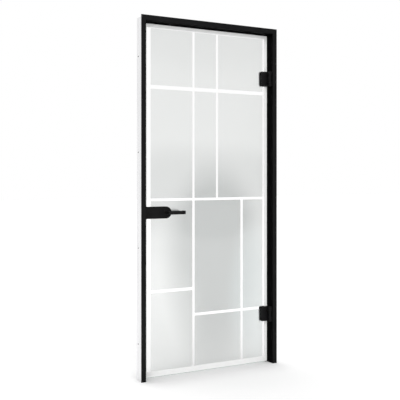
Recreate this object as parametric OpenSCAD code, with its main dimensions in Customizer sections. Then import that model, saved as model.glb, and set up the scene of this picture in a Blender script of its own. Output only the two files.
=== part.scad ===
// Framed glass door: an all-glass leaf on clamp hinges in a slim aluminium wall frame.
// +Z is up and X runs along the width, with the hinges at the +X end and the lock at the -X end.
// The leaf opens towards -Y. The wall is at Y >= 0 and the frame's flange laps on its face at Y = 0.
// The origin is at floor level where the hinge jamb's flange meets its wall side.

/* [Leaf] */
// Width of the glass leaf
leaf_w = 834; // [620:1:980]
// Height of the glass leaf
leaf_h = 1972; // [1700:1:2200]
// Thickness of the glass
glass_t = 8; // [8:0.5:12]
// Gap between the leaf's edge and the jambs and head
side_gap = 7; // [6:0.5:9]
// Gap between the leaf and the floor
floor_gap = 6; // [5:0.5:12]
// Distance from the wall face to the front of the glass
glass_setback = 49; // [44:0.5:60]
// Width of the narrow clear bevel ground on the glass edges
glass_arris = 1; // [0.5:0.1:1.5]

/* [Frame profile] */
// Width of the frame's face, seen from the front
face_w = 29; // [27:0.5:40]
// Width of the flange that laps on the wall
wall_lap = 9; // [6:0.5:12]
// Thickness of the flange
flange_t = 3; // [2.5:0.1:4]
// Small bevel on the flange's front edges
flange_bevel = 0.8; // [0.3:0.1:1.2]
// Thickness of the profile's reveal wall, next to the leaf
reveal_wall = 4; // [3.5:0.1:5]
// Thickness of the profile's other walls and its web
chamber_wall = 2.5; // [2:0.1:3]
// How far the stop reaches into the opening
stop_reach = 12; // [11:0.5:15]
// Thickness of the stop
stop_t = 6; // [6:0.5:9]

/* [Seal] */
// Clear space between the closed leaf and the seal's lip
seal_space = 5; // [5:0.5:8]
// Height of the seal's lip off the stop
seal_lip = 5; // [4:0.5:6]
// Width of the seal's lip
seal_w = 8; // [6:0.5:8]
// Wall of the hollow seal
seal_wall = 1.2; // [0.8:0.1:1.5]
// Width of the seal's foot
seal_foot_w = 4; // [3:0.1:5]
// Depth of the seal's foot in the stop
seal_foot_d = 3; // [2:0.1:4]
// Clearance beside the seal's foot
seal_fit = 0.1; // [0:0.05:0.2]

/* [Wall fixings] */
// Diameter of the fixing holes through the jambs
fixing_d = 8; // [6:0.5:10]
// Number of fixing holes in each jamb
fixing_count = 4; // [3:1:5]
// Height of the lowest fixing hole
fixing_low = 200; // [120:5:230]
// Distance of the highest fixing hole below the frame's top
fixing_drop = 224; // [120:1:300]
// Distance of the fixing holes from the wall face
fixing_y = 56; // [45:0.5:58]

/* [Hinges] */
// Distance of the upper hinge's middle below the leaf's top
upper_hinge_drop = 263; // [120:1:400]
// Distance of the lower hinge's middle above the leaf's foot
lower_hinge_rise = 290; // [200:1:500]
// Height of a hinge
hinge_h = 88; // [80:1:110]
// Width of a hinge's clamp plate on the front of the glass
clamp_w = 50; // [44:1:60]
// Thickness of the front clamp plate
clamp_front_t = 12; // [10:0.5:14]
// Thickness of the rear clamp plate
clamp_rear_t = 10; // [8:0.5:12]
// Corner radius of the clamp plates
clamp_corner = 9; // [6:0.5:14]
// Rounding of the visible edges of clamps and lock case
edge_round = 2; // [1:0.1:3]
// Distance of the hinge axis from the reveal
axis_reach = 10; // [9.5:0.5:14]
// Distance of the hinge axis from the wall face
axis_y = 15; // [13:0.5:20]
// Radius of the knuckles
knuckle_r = 8; // [7:0.5:9]
// Height of the leaf's middle knuckle
mid_knuckle_h = 44; // [36:1:50]
// Gap between knuckles
knuckle_gap = 0.5; // [0.3:0.1:1]
// Width of the arm that joins the middle knuckle to the clamp
arm_w = 8; // [6:0.5:10]
// Radius of the hinge pin
pin_r = 4; // [3:0.1:5]
// Radial running clearance between the pin and the leaf's knuckle
pin_fit = 0.05; // [0.02:0.01:0.1]
// Radius of the caps on the pin's ends
cap_r = 7; // [6:0.5:8]
// Height of the caps on the pin's ends
cap_h = 2.5; // [2:0.1:4]
// Depth of the frame leaf along the reveal
frame_leaf_d = 24; // [20:0.5:26]
// Thickness of the frame leaf
frame_leaf_t = 3; // [2.5:0.1:3.5]
// Depth of the recess for plates in the reveal
plate_recess = 2; // [1.5:0.1:2.5]
// Clearance round plates let into the reveal
plate_fit = 0.2; // [0.1:0.05:0.4]
// Thickness of the gaskets between metal and glass
gasket_t = 1; // [0.5:0.1:2]
// How far the gaskets stay inside the clamp's outline
gasket_inset = 1; // [0.5:0.1:2]
// Clear distance between what is behind the glass and the stop
rear_space = 6; // [5:0.5:10]

/* [Screws] */
// Radius of the clamp screws
screw_r = 3; // [2:0.1:3.5]
// Radius of the screw heads
screw_head_r = 5.5; // [5:0.1:6]
// Clearance of screws in the plates they pass through
screw_fit = 0.25; // [0.1:0.05:0.5]
// Radius of the holes in the glass for clamp screws
glass_hole_r = 7; // [5:0.5:9]
// Distance of the clamp screws from the leaf's edge
clamp_screw_x = 30; // [27:0.5:33]
// Distance between the two screws of a hinge
clamp_screw_pitch = 44; // [30:1:50]
// How deep the screws go into the front pieces
screw_bite = 8; // [5:0.5:8]
// Width across flats of the screws' hexagon sockets
screw_socket = 4; // [3:0.5:5]
// Depth of the screws' sockets
socket_d = 2.5; // [1.5:0.1:3]

/* [Lock] */
// Height of the lever's axis above the floor
lock_z = 924; // [850:1:1100]
// Distance of the lever's axis from the leaf's edge
lock_backset = 138; // [120:1:180]
// Height of the D-shaped lock case
lock_h = 67; // [64:0.5:90]
// Thickness of the case on each side of the glass
lock_case_t = 12; // [11:0.5:16]
// Margin of glass held between the cases, round the cut-out
lock_margin = 8.5; // [7:0.5:10]
// Clearance of the lock body in the glass cut-out
lock_body_fit = 1.5; // [0.5:0.1:3]
// Distance of the first case screw from the leaf's edge
lock_screw_near = 26; // [24:1:40]
// Distance of the second case screw from the leaf's edge
lock_screw_far = 98; // [80:1:100]
// Height of the latch bolt
latch_h = 18; // [12:0.5:24]
// Thickness of the latch bolt
latch_t = 7; // [5:0.5:8]
// Depth of the drawn-back latch bolt in the lock
latch_d = 16; // [10:1:18]
// Clearance round the latch bolt
latch_fit = 0.3; // [0.1:0.05:0.5]
// Height of the strike plate
strike_h = 120; // [90:1:160]
// Width of the strike plate
strike_w = 20; // [18:0.5:22]
// Room for the latch bolt all round in the strike plate's opening
strike_room = 2; // [1:0.5:3]

/* [Lever] */
// Length of the lever from its axis to its tip
lever_l = 102; // [90:1:140]
// Height of the lever's flat bar
lever_h = 20; // [19:0.5:24]
// Thickness of the lever's flat bar
lever_t = 10; // [8:0.5:14]
// Clear distance between the case and the back of the bar
lever_standoff = 42; // [36:1:55]
// Length of the return at the tip, behind the bar
return_l = 32; // [12:1:40]
// Inner radius of the bend at the tip
bend_r = 4; // [2:0.5:8]
// Rounding of the bar's long edges
lever_round = 3; // [1:0.1:3.8]
// Radius of the lever's neck
neck_r = 9; // [8:0.1:9.5]
// Running clearance of the neck in its collar
neck_fit = 0.05; // [0.02:0.01:0.1]
// Depth of the neck in the case
neck_seat = 6; // [4:0.5:8]
// Radius of the collar round the neck
collar_r = 15; // [12:0.5:18]
// Height of the collar
collar_h = 3; // [2:0.5:5]
// Rounding of the collar's edge
collar_round = 1.2; // [0.5:0.1:1.8]
// Width of the square spindle
spindle_w = 8; // [7:0.5:9]
// Clearance of the spindle in the levers
spindle_fit = 0.1; // [0.05:0.05:0.2]
// Room round the turning spindle in the lock
spindle_room = 1; // [0.5:0.1:2]
// Depth of the spindle in each lever
spindle_seat = 30; // [20:1:36]

/* [Hidden] */
$fn = 48;
// Small overlap that keeps joined shapes in one piece
bite = 0.01;
// Length that cuts right through any piece
through = 200;

// The frame's section: u runs from the flange's outer edge into the opening, v from the wall face
body_w = face_w - wall_lap;
seal_front = glass_setback + glass_t + seal_space;
stop_front = seal_front + seal_lip;
frame_d = stop_front + stop_t;
stop_edge = face_w + stop_reach;
web_v = axis_y + frame_leaf_d / 2 + chamber_wall;
seal_mid = face_w + stop_reach / 2;

// The opening and the leaf in it
opening_w = leaf_w + 2 * side_gap;
opening_h = leaf_h + side_gap + floor_gap;
hinge_reveal_x = -body_w;
latch_reveal_x = hinge_reveal_x - opening_w;
outer_right_x = wall_lap;
outer_left_x = latch_reveal_x - face_w;
frame_w = outer_right_x - outer_left_x;
frame_h = opening_h + face_w;
fixing_pitch = (frame_h - fixing_low - fixing_drop) / (fixing_count - 1);
hinge_edge_x = hinge_reveal_x - side_gap;
latch_edge_x = latch_reveal_x + side_gap;
glass_front_y = glass_setback;
glass_back_y = glass_setback + glass_t;
metal_front_y = glass_front_y - gasket_t;
metal_back_y = glass_back_y + gasket_t;
// What is clamped behind the glass starts this far in from the leaf's edge
rear_start = stop_reach - side_gap + rear_space;

// Hinges
upper_hinge_z = floor_gap + leaf_h - upper_hinge_drop;
lower_hinge_z = floor_gap + lower_hinge_rise;
axis_x = hinge_reveal_x - axis_reach;
side_knuckle_h = (hinge_h - mid_knuckle_h) / 2 - knuckle_gap;
frame_leaf_x = hinge_reveal_x + plate_recess - frame_leaf_t;

// Lock and lever
lock_r = lock_h / 2;
lock_w = lock_backset + lock_r;
lever_x = latch_edge_x + lock_backset;
cutout_r = lock_r - lock_margin;
lock_body_r = cutout_r - lock_body_fit;
case_front_y = metal_front_y - lock_case_t;
case_back_y = metal_back_y + lock_case_t;
latch_y = (glass_front_y + glass_back_y) / 2;
spindle_bore_r = spindle_w / sqrt(2) + spindle_room;
bar_back = lever_standoff + neck_seat;

// The frame's hollow section with its flange, two chambers, and a stop with a groove for the seal
module frame_section() {
    difference() {
        polygon([
            [flange_bevel, -flange_t],
            [face_w - flange_bevel, -flange_t],
            [face_w, -flange_t + flange_bevel],
            [face_w, stop_front],
            [stop_edge, stop_front],
            [stop_edge, frame_d],
            [wall_lap, frame_d],
            [wall_lap, 0],
            [0, 0],
            [0, -flange_t + flange_bevel]
        ]);
        chamber(chamber_wall, web_v);
        chamber(web_v + chamber_wall, frame_d - chamber_wall);
        translate([seal_mid - seal_foot_w / 2 - seal_fit, stop_front - bite])
            square([seal_foot_w + 2 * seal_fit, seal_foot_d + bite]);
    }
}

module chamber(low_v, high_v) {
    translate([wall_lap + chamber_wall, low_v])
        square([body_w - chamber_wall - reveal_wall, high_v - low_v]);
}

// The hollow lip of the seal on its foot, which fills the groove to its bottom
module seal_section() {
    lip_low = stop_front - seal_lip;
    difference() {
        union() {
            translate([seal_mid - seal_w / 2, lip_low + seal_lip / 2])
                square([seal_w, seal_lip / 2]);
            for (side = [-1, 1])
                translate([seal_mid + side * (seal_w - seal_lip) / 2, lip_low + seal_lip / 2])
                    circle(seal_lip / 2);
            translate([seal_mid - (seal_w - seal_lip) / 2, lip_low])
                square([seal_w - seal_lip, seal_lip]);
            translate([seal_mid - seal_foot_w / 2, stop_front - bite])
                square([seal_foot_w, seal_foot_d + bite]);
        }
        translate([seal_mid - seal_w / 2 + seal_lip / 2, lip_low + seal_wall])
            square([seal_w - seal_lip, seal_lip - 2 * seal_wall]);
    }
}

// A jamb length of a section at the left end of the frame, mitred at the top
module left_upright() {
    intersection() {
        translate([outer_left_x, 0, 0])
            linear_extrude(frame_h)
                children();
        translate([outer_left_x, through, 0])
            rotate([90, 0, 0])
                linear_extrude(2 * through)
                    polygon([[0, 0], [stop_edge, 0], [stop_edge, frame_h - stop_edge], [0, frame_h]]);
    }
}

// The same at the right end
module right_upright() {
    translate([outer_left_x + outer_right_x, 0, 0])
        mirror([1, 0, 0])
            left_upright()
                children();
}

// The head's length of a section, mitred at both ends
module head_length() {
    intersection() {
        translate([outer_left_x, 0, frame_h])
            rotate([0, 90, 0])
                linear_extrude(frame_w)
                    children();
        translate([outer_left_x, through, frame_h])
            rotate([90, 0, 0])
                linear_extrude(2 * through)
                    polygon([
                        [0, 0],
                        [frame_w, 0],
                        [frame_w - stop_edge, -stop_edge],
                        [stop_edge, -stop_edge]
                    ]);
    }
}

module fixing_holes(wall_x) {
    for (i = [0 : fixing_count - 1])
        translate([wall_x, fixing_y, fixing_low + i * fixing_pitch])
            rotate([0, 90, 0])
                cylinder(h = 3 * face_w, d = fixing_d, center = true);
}

// A recess cut in a reveal for a plate that is let in
module reveal_recess(reveal_x, middle_y, middle_z, width, height) {
    translate([reveal_x, middle_y, middle_z])
        cube([2 * plate_recess, width + 2 * plate_fit, height + 2 * plate_fit], center = true);
}

module latch_jamb() {
    color("#1c1c1e")
        difference() {
            left_upright()
                frame_section();
            fixing_holes(latch_reveal_x);
            reveal_recess(latch_reveal_x, latch_y, lock_z, strike_w, strike_h);
            latch_opening();
        }
}

module hinge_jamb() {
    color("#1c1c1e")
        difference() {
            right_upright()
                frame_section();
            fixing_holes(hinge_reveal_x);
            for (z = [upper_hinge_z, lower_hinge_z])
                reveal_recess(hinge_reveal_x, axis_y, z, frame_leaf_d, hinge_h);
        }
}

module head_rail() {
    color("#1c1c1e")
        head_length()
            frame_section();
}

module latch_side_seal() {
    color("#0e0e0f")
        left_upright()
            seal_section();
}

module hinge_side_seal() {
    color("#0e0e0f")
        right_upright()
            seal_section();
}

module head_seal() {
    color("#0e0e0f")
        head_length()
            seal_section();
}

// The opening for the latch bolt in the strike plate and the reveal wall behind it
module latch_opening() {
    translate([latch_reveal_x, latch_y, lock_z])
        cube([3 * reveal_wall, latch_t + 2 * strike_room, latch_h + 2 * strike_room], center = true);
}

module strike_plate() {
    color("#2a2a2c")
        difference() {
            translate([latch_reveal_x - plate_recess, latch_y - strike_w / 2, lock_z - strike_h / 2])
                cube([plate_recess, strike_w, strike_h]);
            latch_opening();
        }
}

// The hinge's fixed half: a plate let into the reveal with an upper and a lower knuckle
module hinge_frame_leaf(z) {
    color("#232325")
        translate([0, 0, z])
            difference() {
                union() {
                    translate([frame_leaf_x, axis_y - frame_leaf_d / 2, -hinge_h / 2])
                        cube([frame_leaf_t, frame_leaf_d, hinge_h]);
                    for (low = [-hinge_h / 2, hinge_h / 2 - side_knuckle_h])
                        translate([axis_x, axis_y, low]) {
                            cylinder(h = side_knuckle_h, r = knuckle_r);
                            translate([0, -knuckle_r, 0])
                                cube([frame_leaf_x - axis_x + bite, 2 * knuckle_r, side_knuckle_h]);
                        }
                }
                translate([axis_x, axis_y, 0])
                    cylinder(h = through, r = pin_r, center = true);
            }
}

// The pin with a domed cap on each end
module hinge_pin(z) {
    half = hinge_h / 2;
    color("#232325")
        translate([axis_x, axis_y, z]) {
            cylinder(h = hinge_h + 2 * bite, r = pin_r, center = true);
            for (end = [0, 1])
                mirror([0, 0, end])
                    translate([0, 0, half])
                        rotate_extrude()
                            cap_section();
        }
}

module cap_section() {
    intersection() {
        square([cap_r, cap_h]);
        union() {
            square([cap_r, cap_h / 2]);
            square([cap_r - cap_h / 2, cap_h]);
            translate([cap_r - cap_h / 2, cap_h / 2])
                circle(cap_h / 2);
        }
    }
}

// Half of a plate's section, with its outer front edge rounded
module rim_section(depth, thick, round_r) {
    square([depth - round_r, thick]);
    square([depth, thick - round_r]);
    translate([depth - round_r, thick - round_r])
        circle(round_r);
}

// A plate from x = 0 to its rounded end at x = length, from y = 0 out to y = -thick
module soft_plate(length, height, thick, corner_r, round_r) {
    straight = height - 2 * corner_r;
    corner_x = length - corner_r;
    if (straight > 0) {
        translate([0, -thick, -straight / 2])
            cube([corner_x, thick, straight]);
        translate([corner_x, 0, straight / 2])
            rotate([180, 0, 0])
                linear_extrude(straight)
                    rim_section(corner_r, thick, round_r);
    }
    for (side = [0, 1])
        mirror([0, 0, side])
            translate([0, 0, straight / 2]) {
                rotate([180, -90, 0])
                    linear_extrude(corner_x)
                        rim_section(corner_r, thick, round_r);
                translate([corner_x, 0, 0])
                    rotate([90, 0, 0])
                        rotate_extrude(angle = 90)
                            rim_section(corner_r, thick, round_r);
            }
}

// The plate's outline on the glass, drawn smaller by an inset
module plate_outline(length, height, corner_r, inset) {
    small_r = corner_r - inset;
    half = height / 2 - inset;
    translate([inset, -half])
        square([length - corner_r - inset, 2 * half]);
    if (half > small_r)
        translate([inset, -half + small_r])
            square([length - 2 * inset, 2 * (half - small_r)]);
    for (side = [-1, 1])
        translate([length - corner_r, side * (half - small_r)])
            circle(small_r);
}

// Places a flat outline on the glass as a sheet between two depths
module sheet(low_y, high_y) {
    translate([0, high_y, 0])
        rotate([90, 0, 0])
            linear_extrude(high_y - low_y)
                children();
}

// Stands what is drawn from the leaf's hinge edge inward at a hinge's height
module at_hinge(z) {
    translate([hinge_edge_x, 0, z])
        mirror([1, 0, 0])
            children();
}

module at_lock() {
    translate([latch_edge_x, 0, lock_z])
        children();
}

module screw_places() {
    for (side = [-1, 1])
        translate([clamp_screw_x, 0, side * clamp_screw_pitch / 2])
            children();
}

module lock_screw_places() {
    for (x = [lock_screw_near, lock_screw_far])
        translate([x, 0, 0])
            children();
}

// A hole along the glass's normal from one depth to another
module cross_hole(low_y, high_y, r) {
    translate([0, high_y, 0])
        rotate([90, 0, 0])
            cylinder(h = high_y - low_y, r = r);
}

// The space of a screw with a conical head that sits flush in a rear piece
module countersink(back_y, extra) {
    cross_hole(back_y - through / 2, back_y + bite, screw_r + extra);
    translate([0, back_y + bite, 0])
        rotate([90, 0, 0])
            cylinder(h = screw_head_r - screw_r, r1 = screw_head_r, r2 = screw_r);
}

// The hinge's moving half: the front clamp plate, its arm and the middle knuckle
module clamp_front(z) {
    arm_back = metal_front_y - clamp_front_t / 2;
    color("#1e1e20")
        difference() {
            union() {
                at_hinge(z)
                    translate([0, metal_front_y, 0])
                        soft_plate(clamp_w, hinge_h, clamp_front_t, clamp_corner, edge_round);
                translate([axis_x, axis_y, z])
                    cylinder(h = mid_knuckle_h, r = knuckle_r, center = true);
                translate([axis_x - knuckle_r, axis_y, z - mid_knuckle_h / 2])
                    cube([arm_w, arm_back - axis_y, mid_knuckle_h]);
            }
            translate([axis_x, axis_y, z])
                cylinder(h = through, r = pin_r + pin_fit, center = true);
            at_hinge(z)
                screw_places()
                    cross_hole(metal_front_y - screw_bite, metal_front_y + bite, screw_r);
        }
}

// The rear clamp plate, set in from the leaf's edge to pass the stop
module clamp_rear(z) {
    back_y = metal_back_y + clamp_rear_t;
    color("#1e1e20")
        at_hinge(z)
            difference() {
                translate([rear_start, metal_back_y, 0])
                    mirror([0, 1, 0])
                        soft_plate(clamp_w - rear_start, hinge_h, clamp_rear_t, clamp_corner, edge_round);
                screw_places()
                    countersink(back_y, screw_fit);
            }
}

module clamp_gasket(z, low_y, start) {
    color("#0e0e0f")
        at_hinge(z)
            difference() {
                translate([start, 0, 0])
                    sheet(low_y, low_y + gasket_t)
                        plate_outline(clamp_w - start, hinge_h, clamp_corner, gasket_inset);
                screw_places()
                    cross_hole(low_y - bite, low_y + gasket_t + bite, glass_hole_r);
            }
}

// A screw from the back of a rear piece into the front piece, with a hexagon socket
module clamp_screw(back_y) {
    head_h = screw_head_r - screw_r;
    tip_y = metal_front_y - screw_bite;
    difference() {
        union() {
            cross_hole(tip_y, back_y - head_h + bite, screw_r);
            translate([0, back_y, 0])
                rotate([90, 0, 0])
                    cylinder(h = head_h, r1 = screw_head_r, r2 = screw_r);
        }
        translate([0, back_y + bite, 0])
            rotate([90, 0, 0])
                cylinder(h = socket_d + bite, d = screw_socket / cos(30), $fn = 6);
    }
}

module clamp_screws(z) {
    color("#8c8c90")
        at_hinge(z)
            screw_places()
                clamp_screw(metal_back_y + clamp_rear_t);
}

// The cut-out in the glass for the lock, with the same D shape as the case
module lock_cutout(r) {
    translate([-bite, -r])
        square([lock_backset + bite, 2 * r]);
    translate([lock_backset, 0])
        circle(r);
}

module glass_pane() {
    color("#dfe6e3")
        difference() {
            translate([latch_edge_x, glass_front_y, floor_gap])
                bevelled_glass();
            for (z = [upper_hinge_z, lower_hinge_z])
                at_hinge(z)
                    screw_places()
                        cross_hole(glass_front_y - bite, glass_back_y + bite, glass_hole_r);
            at_lock()
                sheet(glass_front_y - bite, glass_back_y + bite)
                    lock_cutout(cutout_r);
        }
}

// The pane with its long edges ground to a narrow bevel
module bevelled_glass() {
    linear_extrude(leaf_h)
        polygon([
            [glass_arris, 0],
            [leaf_w - glass_arris, 0],
            [leaf_w, glass_arris],
            [leaf_w, glass_t - glass_arris],
            [leaf_w - glass_arris, glass_t],
            [glass_arris, glass_t],
            [0, glass_t - glass_arris],
            [0, glass_arris]
        ]);
}

module lock_case_front() {
    color("#1e1e20")
        at_lock()
            difference() {
                translate([0, metal_front_y, 0])
                    soft_plate(lock_w, lock_h, lock_case_t, lock_r, edge_round);
                lock_screw_places()
                    cross_hole(metal_front_y - screw_bite, metal_front_y + bite, screw_r);
                translate([lock_backset, 0, 0]) {
                    cross_hole(case_front_y - bite, metal_front_y + bite, spindle_bore_r);
                    cross_hole(case_front_y - bite, case_front_y + neck_seat, neck_r + neck_fit);
                }
            }
}

module lock_case_rear() {
    color("#1e1e20")
        at_lock()
            difference() {
                translate([rear_start, metal_back_y, 0])
                    mirror([0, 1, 0])
                        soft_plate(lock_w - rear_start, lock_h, lock_case_t, lock_r, edge_round);
                lock_screw_places()
                    countersink(case_back_y, screw_fit);
                translate([lock_backset, 0, 0]) {
                    cross_hole(metal_back_y - bite, case_back_y + bite, spindle_bore_r);
                    cross_hole(case_back_y - neck_seat, case_back_y + bite, neck_r + neck_fit);
                }
            }
}

// The gasket follows the case's edge round the cut-out
module lock_gasket(low_y, start) {
    color("#0e0e0f")
        at_lock()
            sheet(low_y, low_y + gasket_t)
                difference() {
                    translate([start, 0])
                        plate_outline(lock_w - start, lock_h, lock_r, gasket_inset);
                    lock_cutout(cutout_r);
                }
}

// The lock's body fills the cut-out in the glass and joins the two cases
module lock_body() {
    color("#55565a")
        at_lock()
            difference() {
                sheet(metal_front_y, metal_back_y)
                    intersection() {
                        lock_cutout(lock_body_r);
                        translate([0, -lock_h])
                            square([lock_w, 2 * lock_h]);
                    }
                lock_screw_places()
                    cross_hole(metal_front_y - bite, metal_back_y + bite, screw_r + screw_fit);
                translate([lock_backset, 0, 0])
                    cross_hole(metal_front_y - bite, metal_back_y + bite, spindle_bore_r);
                translate([latch_d / 2, latch_y, 0])
                    cube([
                        latch_d + 2 * bite,
                        latch_t + 2 * latch_fit,
                        latch_h + 2 * latch_fit
                    ], center = true);
            }
}

// The latch bolt, drawn back flush with the leaf's edge
module latch_bolt() {
    color("#a8a9ad")
        at_lock()
            translate([bite, latch_y - latch_t / 2, -latch_h / 2])
                cube([latch_d, latch_t, latch_h]);
}

module lock_screws() {
    color("#8c8c90")
        at_lock()
            lock_screw_places()
                clamp_screw(case_back_y);
}

// A round collar on the case, with its outer edge rounded
module lever_collar() {
    difference() {
        rotate([90, 0, 0])
            rotate_extrude()
                rim_section(collar_r, collar_h, collar_round);
        cross_hole(-collar_h - bite, bite, neck_r + neck_fit);
    }
}

module front_lever_collar() {
    color("#1e1e20")
        translate([lever_x, case_front_y, lock_z])
            lever_collar();
}

module rear_lever_collar() {
    color("#1e1e20")
        translate([lever_x, case_back_y, lock_z])
            mirror([0, 1, 0])
                lever_collar();
}

// The bar's section, with x across its thickness from the back and y across its height
module lever_section() {
    half = lever_h / 2;
    translate([0, -half + lever_round])
        square([lever_t, lever_h - 2 * lever_round]);
    translate([lever_round, -half])
        square([lever_t - 2 * lever_round, lever_h]);
    for (x = [lever_round, lever_t - lever_round], y = [lever_round - half, half - lever_round])
        translate([x, y])
            circle(lever_round);
}

// A bar bent to a return at its tip, with a round end over the neck and the bar's back at y = 0
module bent_bar() {
    bend_x = lever_l - lever_t - bend_r;
    rotate([90, 0, 90])
        linear_extrude(bend_x)
            rotate([0, 0, 180])
                lever_section();
    translate([bend_x, bend_r, 0])
        mirror([0, 1, 0])
            rotate_extrude(angle = 90)
                translate([bend_r, 0])
                    lever_section();
    translate([lever_l - lever_t, bend_r, 0])
        rotate([-90, 0, 0])
            linear_extrude(return_l - bend_r)
                lever_section();
    rotate([90, 0, 0])
        rotate_extrude()
            round_end_section();
}

// Half of the bar's round end over the neck, rounded like the bar's edges
module round_end_section() {
    half = lever_h / 2;
    intersection() {
        rotate([0, 0, 90])
            lever_section();
        translate([-half, 0])
            square([half, lever_t]);
    }
}

// A lever from the bottom of its seat in the case, with its axis along y
module lever() {
    difference() {
        union() {
            translate([0, -bar_back, 0])
                bent_bar();
            cross_hole(-bar_back - lever_t / 2, 0, neck_r);
        }
        translate([0, -spindle_seat / 2 + bite, 0])
            cube([
                spindle_w + 2 * spindle_fit,
                spindle_seat + 2 * bite,
                spindle_w + 2 * spindle_fit
            ], center = true);
    }
}

module front_lever() {
    color("#1e1e20")
        translate([lever_x, case_front_y + neck_seat, lock_z])
            lever();
}

module rear_lever() {
    color("#1e1e20")
        translate([lever_x, case_back_y - neck_seat, lock_z])
            mirror([0, 1, 0])
                lever();
}

// The square spindle reaches the bottom of the seat in each lever
module spindle() {
    front_y = case_front_y + neck_seat - spindle_seat;
    back_y = case_back_y - neck_seat + spindle_seat;
    color("#8c8c90")
        translate([lever_x - spindle_w / 2, front_y, lock_z - spindle_w / 2])
            cube([spindle_w, back_y - front_y, spindle_w]);
}

latch_jamb();
hinge_jamb();
head_rail();
latch_side_seal();
hinge_side_seal();
head_seal();
strike_plate();
hinge_frame_leaf(upper_hinge_z);  // upper_hinge_frame_leaf
hinge_frame_leaf(lower_hinge_z);  // lower_hinge_frame_leaf
hinge_pin(upper_hinge_z);  // upper_hinge_pin
hinge_pin(lower_hinge_z);  // lower_hinge_pin
glass_pane();
clamp_front(upper_hinge_z);  // upper_clamp_front
clamp_front(lower_hinge_z);  // lower_clamp_front
clamp_rear(upper_hinge_z);  // upper_clamp_rear
clamp_rear(lower_hinge_z);  // lower_clamp_rear
clamp_gasket(upper_hinge_z, metal_front_y, 0);  // upper_front_gasket
clamp_gasket(lower_hinge_z, metal_front_y, 0);  // lower_front_gasket
clamp_gasket(upper_hinge_z, glass_back_y, rear_start);  // upper_rear_gasket
clamp_gasket(lower_hinge_z, glass_back_y, rear_start);  // lower_rear_gasket
clamp_screws(upper_hinge_z);  // upper_clamp_screws
clamp_screws(lower_hinge_z);  // lower_clamp_screws
lock_case_front();
lock_case_rear();
lock_gasket(metal_front_y, 0);  // lock_front_gasket
lock_gasket(glass_back_y, rear_start);  // lock_rear_gasket
lock_body();
latch_bolt();
lock_screws();
front_lever_collar();
rear_lever_collar();
front_lever();
rear_lever();
spindle();
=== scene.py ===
import math

import bmesh
import bpy
import numpy as np
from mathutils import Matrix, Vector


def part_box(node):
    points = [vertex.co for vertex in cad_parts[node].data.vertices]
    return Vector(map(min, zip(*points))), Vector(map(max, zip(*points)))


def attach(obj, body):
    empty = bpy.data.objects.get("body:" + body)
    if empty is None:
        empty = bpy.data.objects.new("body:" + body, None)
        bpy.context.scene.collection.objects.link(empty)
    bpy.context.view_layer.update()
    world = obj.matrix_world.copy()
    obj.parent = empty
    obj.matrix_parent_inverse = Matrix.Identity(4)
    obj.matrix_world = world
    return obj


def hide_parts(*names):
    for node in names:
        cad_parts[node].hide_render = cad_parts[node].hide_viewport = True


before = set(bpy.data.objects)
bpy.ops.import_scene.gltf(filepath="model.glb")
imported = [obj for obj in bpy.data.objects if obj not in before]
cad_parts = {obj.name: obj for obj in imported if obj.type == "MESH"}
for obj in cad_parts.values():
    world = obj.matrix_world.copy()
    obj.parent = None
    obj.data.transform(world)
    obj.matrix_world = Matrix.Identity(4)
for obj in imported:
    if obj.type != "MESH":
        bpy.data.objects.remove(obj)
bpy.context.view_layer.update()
scene = bpy.context.scene
scene.view_settings.view_transform = "Standard"
mm = 0.001


# The camera stands left of the doorway at about waist height and looks level past the lock side.
# Its place, turn and focal length come from the corners of the frame, the leaf and the line pattern.
camera_place = (-2.7579, -3.8513, 1.1325)
camera_turn = math.radians(-30.0974)
picture_side = 400
focal_pixels = 780.89
horizon_row = 175.36
camera_data = bpy.data.cameras.new("door_camera")
camera_data.sensor_width = 36
camera_data.lens = camera_data.sensor_width * focal_pixels / picture_side
camera_data.shift_y = (horizon_row - picture_side / 2) / picture_side
camera_data.clip_end = 200
camera = bpy.data.objects.new("door_camera", camera_data)
camera.location = camera_place
camera.rotation_euler = (math.radians(90), 0, camera_turn)
scene.collection.objects.link(camera)
scene.camera = camera


# The room is a plain pale floor in an even white surround, with two wide soft lamps.
# The front lamp stands to the right, and the lamp behind and above lays the door's soft shadow forward.
room_level = 0.5
front_lamp_level = 0.55
front_lamp_turn = (math.radians(62), 0, math.radians(-25))
back_lamp_level = 0.30
back_lamp_turn = (math.radians(-38), 0, math.radians(10))
lamp_spread = math.radians(70)
floor_tone = (0.86, 0.86, 0.86, 1)
floor_lift = 0.27
# The floor's painted contact shadow: how far it reaches from the door, and how much of the floor's light it takes.
shadow_reach = 0.25
shadow_share = 0.5
floor_half = 30


def join_nodes(tree, start, start_socket, end, end_socket):
    """Joins an output of one shader node to an input of another."""
    tree.links.new(start.outputs[start_socket], end.inputs[end_socket])


def backdrop_share(tree):
    """One where a ray comes straight from the camera, off gloss or through glass, and nought elsewhere."""
    path = tree.nodes.new("ShaderNodeLightPath")
    either = tree.nodes.new("ShaderNodeMath")
    either.operation = "MAXIMUM"
    join_nodes(tree, path, "Is Camera Ray", either, 0)
    join_nodes(tree, path, "Is Glossy Ray", either, 1)
    all_three = tree.nodes.new("ShaderNodeMath")
    all_three.operation = "MAXIMUM"
    join_nodes(tree, either, 0, all_three, 0)
    join_nodes(tree, path, "Is Transmission Ray", all_three, 1)
    return all_three


world = bpy.data.worlds.new("white_surround")
world.use_nodes = True
scene.world = world
surround = world.node_tree.nodes["Background"]
surround.inputs["Color"].default_value = (1, 1, 1, 1)
surround_level = world.node_tree.nodes.new("ShaderNodeMapRange")
surround_level.inputs["To Min"].default_value = room_level
surround_level.inputs["To Max"].default_value = 1
join_nodes(world.node_tree, backdrop_share(world.node_tree), 0, surround_level, "Value")
join_nodes(world.node_tree, surround_level, "Result", surround, "Strength")

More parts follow.
